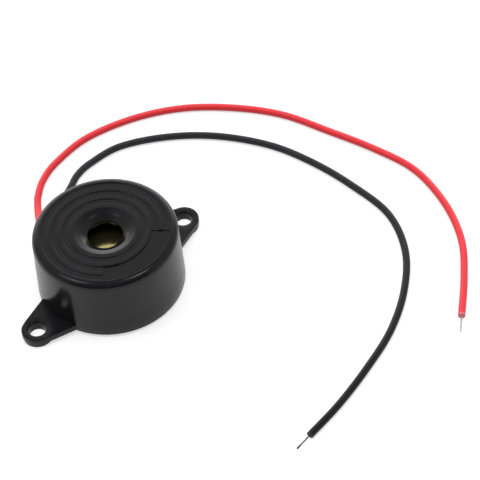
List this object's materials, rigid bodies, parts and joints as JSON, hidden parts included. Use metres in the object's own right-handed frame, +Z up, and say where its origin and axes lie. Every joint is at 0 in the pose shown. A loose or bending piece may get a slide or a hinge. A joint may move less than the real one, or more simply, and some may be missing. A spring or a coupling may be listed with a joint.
{
  "type": "piezo buzzer",
  "caption": "Round black piezo buzzer with a funnel sound hole, ring-grooved top, screw ears and red and black flying leads with stripped ends.",
  "frame": {"origin": "on the axis of the body, level with the table it stands on", "axes": "+X along the line of the screw ears, +Y towards the side where the leads leave, +Z up through the sound hole"},
  "size_m": [0.0866, 0.0948, 0.0152],
  "materials": {
    "black_abs": "moulded, satin gloss",
    "brass": "rolled, bright",
    "ceramic": "fired, matt",
    "silver": "printed silver, satin",
    "silicone": "cured bead, satin",
    "board": "paper laminate, satin",
    "copper": "etched and drawn copper",
    "epoxy": "moulded epoxy, matt",
    "solder": "tin solder, bright",
    "glue": "hot-melt glue, satin",
    "tinned_copper": "tinned, satin",
    "red_pvc": "extruded PVC, satin",
    "black_pvc": "extruded PVC, satin"
  },
  "bodies": {
    "root": {"housing": "black_abs", "bottom_cover": "black_abs", "diaphragm_plate": "brass", "piezo_ceramic": "ceramic", "main_electrode": "silver", "feedback_electrode": "silver", "disc_bond": "silicone", "circuit_board": "board", "board_tracks": "copper", "drive_lead": "copper", "feedback_lead": "copper", "ground_lead": "copper", "transistor": "epoxy", "load_resistor": "epoxy", "bias_resistor": "epoxy", "feedback_resistor": "epoxy", "transistor_legs": "solder", "drive_disc_joint": "solder", "feedback_disc_joint": "solder", "ground_disc_joint": "solder", "drive_board_joint": "solder", "feedback_board_joint": "solder", "ground_board_joint": "solder", "red_board_joint": "solder", "black_board_joint": "solder", "lead_anchor": "glue", "red_inner_end": "tinned_copper", "black_inner_end": "tinned_copper", "red_tip": "tinned_copper", "black_tip": "tinned_copper", "red_lead": "red_pvc", "black_lead": "black_pvc"}
  },
  "joints": []
}
